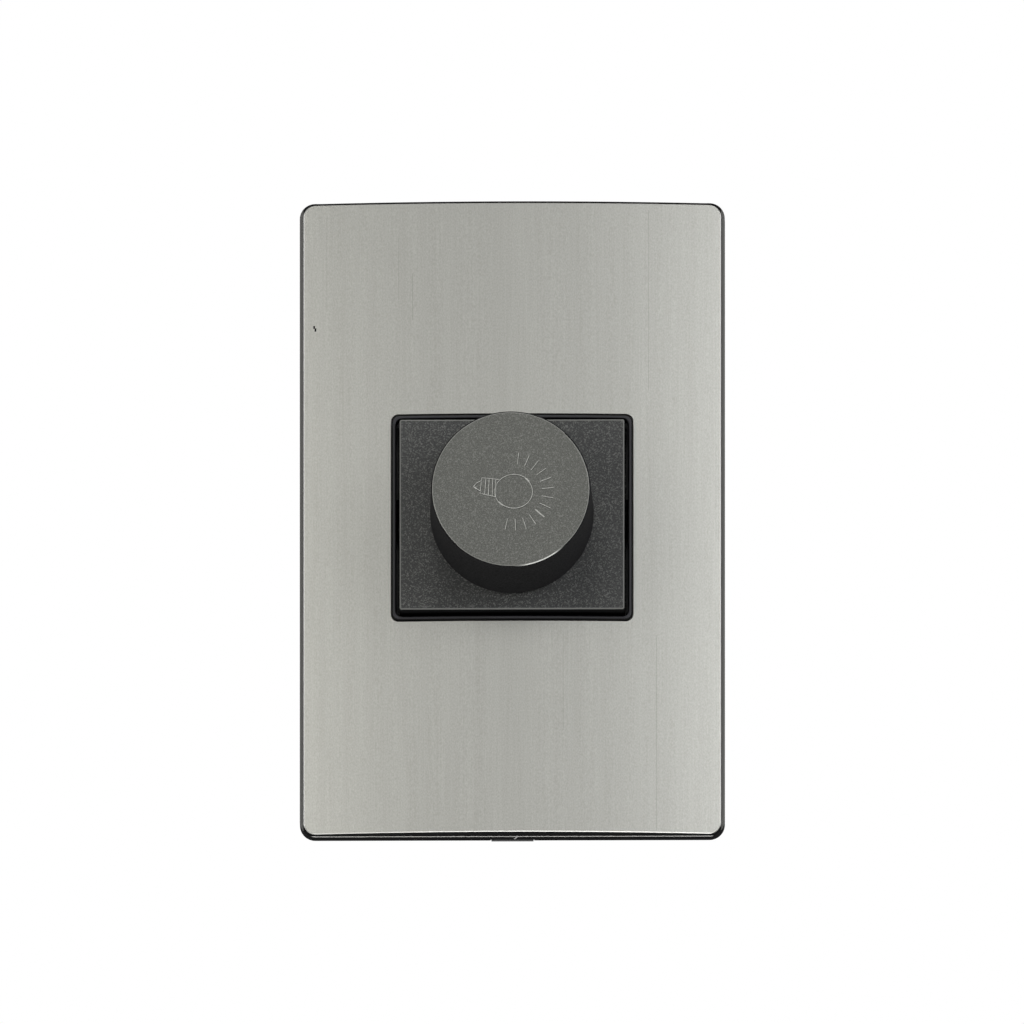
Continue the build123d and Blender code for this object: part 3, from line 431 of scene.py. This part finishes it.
# Each resistor's lacquer carries four painted bands, 0.7 mm wide, round its body.
lacquer, place = new_finish("lacquered_resistor_with_bands")
outer_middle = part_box("resistors")[1][0] - resistor_half_reach
resistor_middles = [-outer_middle, 0.0, outer_middle]
ends = two_ends(lacquer, place, resistor_middles, resistor_half_length)
colour, share = mottled(lacquer, place, "#8fb0bf", "#7c9fb0", 0.0012)
along = add_node(lacquer, "SeparateXYZ", {}, {"Vector": (place, "Object")})
band_paints = (
    (-0.0021, "#5a3a22"),
    (-0.0008, "#1c1c1c"),
    (0.0004, "#c8602a"),
    (0.0021, "#b79a3e"),
)
for middle in resistor_middles:
    for offset, paint in band_paints:
        band = add_node(
            lacquer,
            "Math",
            {"operation": "COMPARE", 1: middle + offset, 2: band_half_width},
            {0: (along, "X")},
        )
        colour = painted_over(lacquer, colour, (band, paint))
coating = add_node(
    lacquer, "BsdfPrincipled", {"Roughness": 0.28, "IOR": 1.5}, {"Base Color": (colour, 2)}
)
lead = add_node(lacquer, "BsdfPrincipled", tinned_wire)
shader = add_node(lacquer, "MixShader", {}, {0: (ends, 0), 1: (coating, 0), 2: (lead, 0)})
put_on(lacquer, shader, "resistors")

fuse, place = new_finish("fuse_glass_with_plated_caps")
ends = two_ends(fuse, place, [0.0], fuse_glass_half_length)
colour, share = mottled(fuse, place, "#dfe6e4", "#ccd6d3", 0.002)
glass = add_node(
    fuse,
    "BsdfPrincipled",
    {"Roughness": 0.04, "IOR": 1.5, "Transmission Weight": 0.85},
    {"Base Color": (colour, 2)},
)
cap = add_node(
    fuse,
    "BsdfPrincipled",
    {"Base Color": linear("#cdc9bd"), "Metallic": 1.0, "Roughness": 0.22},
)
shader = add_node(fuse, "MixShader", {}, {0: (ends, 0), 1: (glass, 0), 2: (cap, 0)})
put_on(fuse, shader, "fuse_tube")

# Terminals
# Pressed brass tongues and cages take the wires under plated screws. Bare brass is warm and
# bright, with the press tool's fine draw lines.
brass, place = new_finish("bright_pressed_brass")
colour, share = mottled(brass, place, "#d9b765", "#bf9a4b", 0.0003, (1, 0.08, 1))
shader = add_node(
    brass,
    "BsdfPrincipled",
    {"Metallic": 1.0, "Roughness": 0.27},
    {"Base Color": (colour, 2)},
)
put_on(brass, shader, "terminal_cages", "terminal_tongues")

# Springs
# Rolled spring steel strip for the module clips, the wiper and the knob's grip ring. It is
# blued by the hardening, so the grey is cool and darker than plate.
spring, place = new_finish("hardened_spring_steel")
colour, share = mottled(spring, place, "#a6a8ab", "#8b8d92", 0.0004, (0.2, 1, 1))
shader = add_node(
    spring,
    "BsdfPrincipled",
    {"Metallic": 1.0, "Roughness": 0.3},
    {"Base Color": (colour, 2)},
)
put_on(spring, shader, "module_clips", "wiper_contact", "knob_spring")

# Module tile
# The tile that fills the window is ABS sprayed with a dark grey lacquer that holds aluminium
# flake. The flakes catch the light one by one, and are drawn 0.2 mm wide so that they show.


def facing_front(material, place, lowest, highest):
    """1 where a surface leans towards the front between two cosines, 0 elsewhere."""
    lean = add_node(material, "SeparateXYZ", {}, {"Vector": (place, "Normal")})
    return add_node(
        material,
        "Math",
        {"operation": "COMPARE", 1: -(lowest + highest) / 2, 2: (highest - lowest) / 2},
        {0: (lean, "Y")},
    )


def bare_sides(material, place, sides, front, pale, dark):
    """Black ABS as the spark-eroded mould leaves it, matt and faintly grained, on the sides."""
    colour, share = mottled(material, place, pale, dark, 0.0003)
    black = add_node(
        material,
        "BsdfPrincipled",
        {"Roughness": 0.8, "IOR": 1.54, "Specular IOR Level": 0.03},
        {"Base Color": (colour, 2)},
    )
    return add_node(material, "MixShader", {}, {0: (sides, 0), 1: (front, 0), 2: (black, 0)})


def flake_lacquer(name, pale, dark, edge, skirt, roughness, broken, highlight_centre=None):
    """Sprayed from the front: flaky grey on the face, a painted highlight on its broken edge
    between two cosines, and bare sides, whose dark colours also stand in for shade. Round an
    optional given place a brighter painted highlight reaches further out and fades within a few mm."""
    material, place = new_finish(name)
    flake_size = 0.0002
    colour, share = mottled(material, place, pale, dark, 0.00016, (1, 1, 1), (0.3, 0.7))
    flakes = add_node(
        material, "TexVoronoi", {"Scale": 1 / flake_size}, {"Vector": (place, "Object")}
    )
    tone = add_node(material, "SeparateColor", {}, {"Color": (flakes, "Color")})
    bright = add_node(
        material,
        "MapRange",
        {"From Min": 0.6, "From Max": 1.0, "To Max": 0.27},
        {"Value": (tone, "Red")},
    )
    rim = facing_front(material, place, *broken)
    sides = facing_front(material, place, -1.1, broken[0])
    # Painted highlight: the broken edge between the two cosines takes the paler edge colour.
    colour = painted_over(material, colour, (bright, "#9b9c98"), (rim, edge))
    if highlight_centre:
        away = add_node(
            material,
            "VectorMath",
            {"operation": "DISTANCE", 1: highlight_centre},
            {0: (place, "Object")},
        )
        near = add_node(
            material,
            "MapRange",
            {"From Min": 0.0028, "From Max": 0.0055, "To Min": 1.0, "To Max": 0.0},
            {"Value": (away, "Value")},
        )
        corner = facing_front(material, place, 0.62, 0.9)
        near = add_node(
            material, "Math", {"operation": "MULTIPLY"}, {0: (near, 0), 1: (corner, 0)}
        )
        # Painted highlight: the edge is coloured bright near the given place, fading within a few
        # mm.
        colour = painted_over(material, colour, (near, "#e4e5e1"))
        sides = add_node(
            material,
            "Math",
            {"operation": "SUBTRACT", "use_clamp": True},
            {0: (sides, 0), 1: (near, 0)},
        )
    relief = add_node(
        material, "Bump", {"Strength": 0.3, "Distance": 0.00003}, {"Height": (share, "Result")}
    )
    coat = add_node(
        material,
        "BsdfPrincipled",
        {"Roughness": roughness, "IOR": 1.45, "Specular IOR Level": 0.3},
        {"Base Color": (colour, 2), "Normal": (relief, "Normal")},
    )
    return material, bare_sides(material, place, sides, coat, *skirt)


tile_lacquer, shader = flake_lacquer(
    name="flake_lacquered_abs_tile",
    pale="#434444",
    dark="#1f2020",
    # The edge colour is a painted highlight on the tile's broken edge.
    edge="#6d6e6c",
    # The skirt colours are bare ABS on the sides, and their darkness also stands in for shade.
    skirt=("#1b1b1c", "#101011"),
    roughness=0.5,
    broken=(0.55, 0.88),
)
put_on(tile_lacquer, shader, "module_front")

# Cover frame
# Black ABS, moulded in one with the raised lip round the window and the level rim round the
# sheet. The front is polished and the sides are matt. Painted highlights lie on the lip's crest
# in dark grey, on the rim's front in grey and on the rim's bottom edge in pale grey.
cover_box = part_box("cover_frame")
lip_half_height = 0.025
rim_width = 0.0007
bottom_height = 0.00012
abs_black, place = new_finish("moulded_black_abs")
colour, share = mottled(abs_black, place, "#0c0c0d", "#070708", 0.0009)
along = add_node(abs_black, "SeparateXYZ", {}, {"Vector": (place, "Object")})
flats = facing_front(abs_black, place, 0.93, 1.1)
lean = facing_front(abs_black, place, 0.2, 1.1)
across = add_node(abs_black, "Math", {"operation": "ABSOLUTE"}, {0: (along, "X")})
lip_highlight = add_node(
    abs_black, "Math", {"operation": "COMPARE", 1: 0.0, 2: lip_half_height}, {0: (along, "Z")}
)
lip_highlight = add_node(abs_black, "Math", {"operation": "MULTIPLY"}, {0: (lip_highlight, 0), 1: (flats, 0)})
rim = add_node(
    abs_black,
    "Math",
    {"operation": "GREATER_THAN", 1: cover_box[1][0] - rim_width},
    {0: (across, 0)},
)
rim = add_node(abs_black, "Math", {"operation": "MULTIPLY"}, {0: (rim, 0), 1: (flats, 0)})
bottom_highlight = add_node(
    abs_black,
    "Math",
    {"operation": "LESS_THAN", 1: cover_box[0][2] + bottom_height},
    {0: (along, "Z")},
)
bottom_highlight = add_node(abs_black, "Math", {"operation": "MULTIPLY"}, {0: (bottom_highlight, 0), 1: (lean, 0)})
# Painted highlights: grey on the lip's crest and the rim's front, pale on the rim's bottom edge.
colour = painted_over(
    abs_black, colour, (lip_highlight, "#37373a"), (rim, "#5e5e5d"), (bottom_highlight, "#e6e6e4")
)
# A lever has left one slanting pale scuff, 0.3 mm wide, on the bottom edge.
scuff_slant = 0.27
scuff_middle = -0.00041
scuff_half_width = 0.00014
slant = add_node(
    abs_black,
    "Math",
    {"operation": "MULTIPLY_ADD", 1: scuff_slant},
    {0: (along, "Y"), 2: (along, "X")},
)
scuff = add_node(
    abs_black,
    "Math",
    {"operation": "COMPARE", 1: scuff_middle, 2: scuff_half_width},
    {0: (slant, 0)},
)
for axis, middle, half in (("Y", -0.0041, 0.0011), ("Z", cover_box[0][2], 0.0003)):
    near = add_node(
        abs_black, "Math", {"operation": "COMPARE", 1: middle, 2: half}, {0: (along, axis)}
    )
    scuff = add_node(
        abs_black, "Math", {"operation": "MULTIPLY"}, {0: (scuff, 0), 1: (near, 0)}
    )
gloss = add_node(
    abs_black, "MapRange", {"To Min": 0.3, "To Max": 0.4}, {"Value": (share, "Result")}
)
polished = add_node(
    abs_black,
    "BsdfPrincipled",
    {"IOR": 1.54, "Specular IOR Level": 0.1},
    {"Base Color": (colour, 2), "Roughness": (gloss, "Result")},
)
sides = facing_front(abs_black, place, -1.1, 0.2)
shader = bare_sides(abs_black, place, sides, polished, "#09090a", "#040405")
scraped = add_node(
    abs_black, "BsdfPrincipled", {"Base Color": linear("#c4c4c4"), "Roughness": 0.7}
)
shader = add_node(abs_black, "MixShader", {}, {0: (scuff, 0), 1: (shader, 0), 2: (scraped, 0)})
put_on(abs_black, shader, "cover_frame")

# Face panel
# Stainless steel sheet, brushed lengthways and pressed to a shallow crown. The brushing is
# finer than a render shows, so it is drawn as grit marks 0.2 mm wide under faint strokes some
# 15 mm long. It spreads the light across the plate. Its broken edge carries a painted highlight,
# which is brighter along the long sides.
hair_half_width = 0.00006
nick_half_width = 0.00016
long_edge = 0.039
steel, place = new_finish("brushed_stainless_steel")
grit = grain_share(steel, place, 0.00022, (1, 1, 0.6), (0.25, 0.75))
strokes = grain_share(steel, place, 0.0003, (1, 1, 0.02), (0.25, 0.75))
bands = grain_share(steel, place, 0.003, (1, 1, 0.03))
brushing = add_node(
    steel, "Math", {"operation": "MULTIPLY_ADD", 1: 0.35}, {0: (strokes, 0), 2: (grit, 0)}
)
brushing = add_node(
    steel, "Math", {"operation": "MULTIPLY_ADD", 1: 0.15}, {0: (bands, 0), 2: (brushing, 0)}
)
brushing = add_node(steel, "MapRange", {"From Max": 1.5}, {"Value": (brushing, 0)})
colour = add_node(
    steel,
    "Mix",
    {"data_type": "RGBA", 6: linear("#868681"), 7: linear("#9e9e99")},
    {0: (brushing, "Result")},
)
relief = add_node(
    steel, "Bump", {"Strength": 0.1, "Distance": 0.00001}, {"Height": (brushing, "Result")}
)
along = add_node(steel, "SeparateXYZ", {}, {"Vector": (place, "Object")})


def line_mask(material, along, across, lowest, highest, half_width):
    """1 on an upright hairline at that X between two heights, in metres."""
    near = add_node(
        material, "Math", {"operation": "COMPARE", 1: across, 2: half_width}, {0: (along, "X")}
    )
    span = add_node(
        material,
        "Math",
        {"operation": "COMPARE", 1: (lowest + highest) / 2, 2: (highest - lowest) / 2},
        {0: (along, "Z")},
    )
    return add_node(
        material, "Math", {"operation": "MULTIPLY"}, {0: (near, 0), 1: (span, 0)}
    )


# Hairline scratches run down the sheet, and one dark nick sits near the left edge.
for across, lowest, highest, depth in (
    (0.0256, 0.0245, 0.0592, 0.25),
    (0.0271, -0.060, -0.0225, 0.25),
    (0.0096, -0.041, -0.0225, 0.2),
    (-0.0348, 0.040, 0.058, 0.2),
    (-0.0213, 0.042, 0.054, 0.2),
    (-0.0187, 0.038, 0.047, 0.25),
):
    hair = line_mask(steel, along, across, lowest, highest, hair_half_width)
    faint = add_node(steel, "Math", {"operation": "MULTIPLY", 1: depth}, {0: (hair, 0)})
    colour = painted_over(steel, colour, (faint, "#4a4a48"))
for across, lowest, highest in ((-0.0372, 0.03675, 0.0373), (-0.03695, 0.0362, 0.03685)):
    nick = line_mask(steel, along, across, lowest, highest, nick_half_width)
    colour = painted_over(steel, colour, (nick, "#161616"))
# Painted highlight: the broken edge is pale, and paler still along the long sides.
edge = facing_front(steel, place, 0.55, 0.85)
across = add_node(steel, "Math", {"operation": "ABSOLUTE"}, {0: (along, "X")})
upright = add_node(
    steel, "Math", {"operation": "GREATER_THAN", 1: long_edge}, {0: (across, 0)}
)
upright = add_node(steel, "Math", {"operation": "MULTIPLY"}, {0: (upright, 0), 1: (edge, 0)})
colour = painted_over(steel, colour, (edge, "#cbcbc7"), (upright, "#f4f4f1"))
sideways = add_node(steel, "CombineXYZ", {"X": 1.0})
shader = add_node(
    steel,
    "BsdfPrincipled",
    {"Metallic": 1.0, "Roughness": 0.33, "Anisotropic": 0.6},
    {"Base Color": (colour, 2), "Normal": (relief, "Normal"), "Tangent": (sideways, 0)},
)
put_on(steel, shader, "face_panel")

# Knob
# A hollow ABS knob in the tile's lacquer, coloured paler, pressed on the shaft. The spray ends on
# its rounded edge, which has a painted highlight, brightest at the bottom. Its bare sides are
# painted dark, partly as their own black ABS and partly as shade. Its face carries a lamp with
# rays, cut as hairlines whose far wall is painted dark as shade and near wall pale as a highlight.
knob_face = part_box("dimmer_knob")[0][1]
knob_lacquer, shader = flake_lacquer(
    name="flake_lacquered_abs_knob",
    pale="#686965",
    dark="#3c3d3a",
    # The edge colour is a painted highlight on the knob's rounded edge.
    edge="#858682",
    # The skirt colours are bare ABS on the sides, and their darkness also stands in for shade.
    skirt=("#2b2b2c", "#171718"),
    roughness=0.45,
    broken=(0.9, 0.975),
    # highlight_centre places a painted highlight on the knob's lower edge.
    highlight_centre=(0.0058, knob_face, -0.0138),
)
put_on(knob_lacquer, shader, "dimmer_knob")

# The lamp is drawn in mm about the knob's axis: a globe, thirteen rays and a screw base.
globe_centre = (0.6, -0.5)
globe_half_width = 3.55
globe_half_height = 3.25
ray_count = 13
first_ray_deg = 82.5
ray_pitch_deg = 15.4
cut_half_width = 0.11
burr_height = 0.02
middle_height = 0.035


def about_globe(turn_deg, half_width, half_height):
    """A point round the globe's centre."""
    turn = math.radians(turn_deg)
    return (
        globe_centre[0] + half_width * math.cos(turn),
        globe_centre[1] + half_height * math.sin(turn),
    )


globe = [about_globe(a, globe_half_width, globe_half_height) for a in range(0, 360, 6)]
globe.append(globe[0])
rays = [
    [about_globe(first_ray_deg - ray_pitch_deg * step, r, r) for r in (5.3, 6.4, 7.5)]
    for step in range(ray_count)
]
screw_shell = [
    (-2.2, 1.75),
    (-3.8, 1.95),
    (-5.4, 2.1),
    (-5.55, 0.6),
    (-5.7, -0.9),
    (-4.3, -1.25),
    (-2.7, -1.6),
]
screw_base = [
    screw_shell,
    [(-4.6, 2.0), (-4.85, -1.1)],
    [(-4.0, 1.95), (-4.15, -1.25)],
    [(-3.35, 1.9), (-3.4, -1.4)],
    [(-2.75, 1.8), (-2.75, -1.55)],
    [(-5.45, 1.6), (-6.4, 1.1), (-6.95, 0.5), (-6.4, 0.0), (-5.65, -0.5)],
]
lamp_symbol = cut_lines(
    "lamp_symbol",
    [globe] + rays + screw_base,
    cut_half_width,
    burr_height,
    middle_height,
    1000 * knob_face,
    -1,
)
etched, place = new_finish("cut_lines_in_lacquer")
# The pale line colour is a painted highlight for the lit near wall.
colour, share = mottled(etched, place, "#acada9", "#8b8c87", 0.0003)
turned = add_node(
    etched,
    "VectorMath",
    {"operation": "DOT_PRODUCT", 1: (0.7, 0, -0.7)},
    {0: (place, "Normal")},
)
# Painted shade: walls that face down and to the right are coloured dark.
painted_shade_wall = add_node(
    etched, "Math", {"operation": "GREATER_THAN", 1: 0.02}, {0: (turned, "Value")}
)
colour = painted_over(etched, colour, (painted_shade_wall, "#2c2d2b"))
shader = add_node(
    etched,
    "BsdfPrincipled",
    {"Metallic": 0.2, "Roughness": 0.45},
    {"Base Color": (colour, 2)},
)
put_on(etched, shader)
lamp_symbol.data.materials.append(etched)
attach(lamp_symbol, "knob")

# Studio
# A pale floor well below the switch, soft boxes above and at both sides, a weak strip from
# below that picks out the lower edges, and a white surround.
floor_level = -0.3
floor_reach = 3
floor_corners = [
    (x * floor_reach, y * floor_reach, floor_level) for x, y in ((-1, -1), (1, -1), (1, 1), (-1, 1))
]
floor_mesh = bpy.data.meshes.new("floor")
floor_mesh.from_pydata(floor_corners, [], [(0, 1, 2, 3)])
floor = bpy.data.objects.new("floor", floor_mesh)
bpy.context.collection.objects.link(floor)


def seen_directly(material):
    """1 where the camera, a reflection or clear glass sees the surface, 0 where it gives light."""
    seen = add_node(material, "LightPath")
    first = add_node(
        material,
        "Math",
        {"operation": "MAXIMUM"},
        {0: (seen, "Is Camera Ray"), 1: (seen, "Is Glossy Ray")},
    )
    return add_node(
        material,
        "Math",
        {"operation": "MAXIMUM"},
        {0: (first, 0), 1: (seen, "Is Transmission Ray")},
    )


paper, place = new_finish("pale_studio_paper")
colour, share = mottled(paper, place, "#f2f1ef", "#eeedeb", 0.001)
surface = add_node(paper, "BsdfPrincipled", {"Roughness": 0.8}, {"Base Color": (colour, 2)})
lit = add_node(paper, "Emission", {"Strength": 1.0}, {"Color": (colour, 2)})
seen = seen_directly(paper)
glow = add_node(paper, "Math", {"operation": "MULTIPLY", 1: 0.7}, {0: (seen, 0)})
shader = add_node(paper, "MixShader", {}, {0: (glow, 0), 1: (surface, 0), 2: (lit, 0)})
put_on(paper, shader)
floor_mesh.materials.append(paper)

surround = bpy.data.worlds.new("studio_surround")
surround.use_nodes = True
surround.node_tree.nodes.clear()
seen = seen_directly(surround)
soft = add_node(surround, "Background", {"Color": linear("#f4f6f8"), "Strength": 0.2})
white = add_node(surround, "Background", {"Color": linear("#ffffff"), "Strength": 1.0})
both = add_node(surround, "MixShader", {}, {0: (seen, 0), 1: (soft, 0), 2: (white, 0)})
add_node(surround, "OutputWorld", {}, {"Surface": (both, 0)})
bpy.context.scene.world = surround


def soft_lamp(name, at, width, height, watts, colour):
    """A rectangular soft box that faces the switch."""
    lamp = bpy.data.lights.new(name, "AREA")
    lamp.shape = "RECTANGLE"
    lamp.size = width
    lamp.size_y = height
    lamp.energy = watts
    lamp.color = linear(colour)[:3]
    holder = bpy.data.objects.new(name, lamp)
    holder.location = at
    direction = (-holder.location).to_track_quat("-Z", "Y")
    holder.rotation_euler = direction.to_euler()
    bpy.context.collection.objects.link(holder)


soft_lamp("overhead_soft_box", (-0.1, -0.65, 0.85), 0.4, 0.3, 4.1, "#fffdf8")
soft_lamp("right_soft_box", (0.4, -0.5, 0.1), 0.25, 0.3, 1.6, "#fbfcff")
soft_lamp("left_soft_box", (-0.42, -0.5, 0.04), 0.25, 0.3, 1.2, "#fffdf8")
soft_lamp("low_strip", (0.02, -0.06, -0.27), 0.25, 0.03, 0.09, "#ffffff")

# Camera
# The photograph is taken from 12.5 degrees below and 0.6 degrees from the right, so far off
# that its lines stay parallel. Its frame is 192.3 mm wide, centred 2.7 mm above the middle of
# the switch.
camera = bpy.data.cameras.new("camera")
camera.type = "ORTHO"
camera.ortho_scale = 0.1923
viewer = bpy.data.objects.new("camera", camera)
below = math.radians(12.5)
beside = math.radians(0.6)
distance = 0.6
middle_x = -0.0001
middle_z = 0.00267
viewer.location = (
    middle_x + distance * math.cos(below) * math.sin(beside),
    -distance * math.cos(below) * math.cos(beside),
    middle_z - distance * math.sin(below),
)
viewer.rotation_euler = (math.radians(90) + below, 0, beside)
bpy.context.collection.objects.link(viewer)
bpy.context.scene.camera = viewer
bpy.context.scene.view_settings.view_transform = "Standard"
